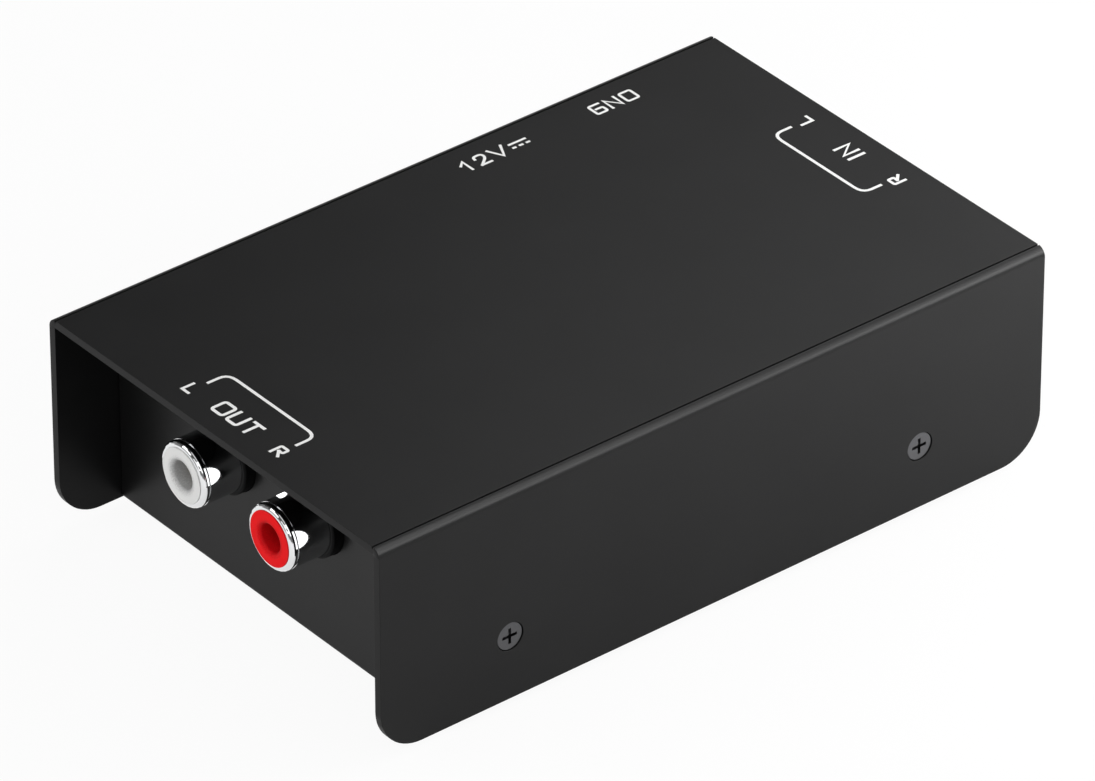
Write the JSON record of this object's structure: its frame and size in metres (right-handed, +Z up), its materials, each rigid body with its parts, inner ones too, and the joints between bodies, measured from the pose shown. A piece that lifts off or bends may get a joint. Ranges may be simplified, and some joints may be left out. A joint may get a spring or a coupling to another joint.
{
  "type": "phono preamp",
  "caption": "Small black sheet-metal phono preamp box with recessed end panels, red and white phono sockets, a supply socket and a knurled ground screw.",
  "frame": {"origin": "centre of the chassis underside, between the four feet", "axes": "+Z up; -X the output end, +X the input end; +Y the rear side with the supply socket and the ground terminal"},
  "size_m": [0.098, 0.068, 0.0294],
  "materials": {
    "cover_black": "satin black powder coat with a fine texture",
    "chassis_black": "satin black powder coat",
    "screw_black": "black zinc",
    "plated_steel": "nickel plate",
    "shell_chrome": "bright nickel plate",
    "white_insulator": "moulded, slight gloss",
    "red_insulator": "moulded, slight gloss",
    "socket_black": "moulded, slight gloss",
    "contact_brass": "tin-brown brass",
    "board_green": "solder mask",
    "foot_rubber": "matt",
    "chip_epoxy": "matt moulded",
    "supply_sleeve": "shrink sleeve",
    "coupling_sleeve": "shrink sleeve",
    "film_red": "dipped",
    "resistor_blue": "lacquer",
    "ferrite": "wound core"
  },
  "bodies": {
    "case": {"top_cover": "cover_black", "chassis": "chassis_black", "cover_screws": "screw_black", "main_board": "board_green", "board_standoffs": "plated_steel", "board_screws": "plated_steel", "out_left_housing": "socket_black", "out_left_shell": "shell_chrome", "out_left_insulator": "white_insulator", "out_left_contact": "contact_brass", "out_right_housing": "socket_black", "out_right_shell": "shell_chrome", "out_right_insulator": "red_insulator", "out_right_contact": "contact_brass", "in_left_housing": "socket_black", "in_left_shell": "shell_chrome", "in_left_insulator": "white_insulator", "in_left_contact": "contact_brass", "in_right_housing": "socket_black", "in_right_shell": "shell_chrome", "in_right_insulator": "red_insulator", "in_right_contact": "contact_brass", "dc_jack_housing": "socket_black", "dc_jack_pin": "plated_steel", "dc_jack_spring": "plated_steel", "ground_terminal": "contact_brass", "foot_out_near": "foot_rubber", "foot_out_rear": "foot_rubber", "foot_in_near": "foot_rubber", "foot_in_rear": "foot_rubber", "input_amplifier_chip": "chip_epoxy", "output_amplifier_chip": "chip_epoxy", "voltage_regulator": "chip_epoxy", "polarity_diode": "chip_epoxy", "supply_choke": "ferrite", "supply_capacitor_in": "supply_sleeve", "supply_capacitor_out": "supply_sleeve", "left_input_capacitor": "coupling_sleeve", "left_output_capacitor": "coupling_sleeve", "left_filter_capacitor_a": "film_red", "left_filter_capacitor_b": "film_red", "left_load_resistor": "resistor_blue", "left_gain_resistor": "resistor_blue", "left_filter_resistor": "resistor_blue", "right_input_capacitor": "coupling_sleeve", "right_output_capacitor": "coupling_sleeve", "right_filter_capacitor_a": "film_red", "right_filter_capacitor_b": "film_red", "right_load_resistor": "resistor_blue", "right_gain_resistor": "resistor_blue", "right_filter_resistor": "resistor_blue"},
    "ground_washer": {"ground_washer": "plated_steel"},
    "ground_screw": {"ground_screw": "plated_steel"}
  },
  "joints": [
    {"name": "ground_screw_travel", "type": "slide", "parent": "case", "child": "ground_washer", "axis": [0, 1, 0], "range_m": [0, 0.0021]},
    {"name": "ground_screw_turn", "type": "hinge", "parent": "ground_washer", "child": "ground_screw", "pos_m": [0.0303, 0.0305, 0.0156], "axis": [0, 1, 0], "range_deg": [0, 1080]}
  ],
  "couplings": [
    {"joint": "ground_screw_turn", "follows": "ground_screw_travel", "rad_per_m": 8976}
  ]
}
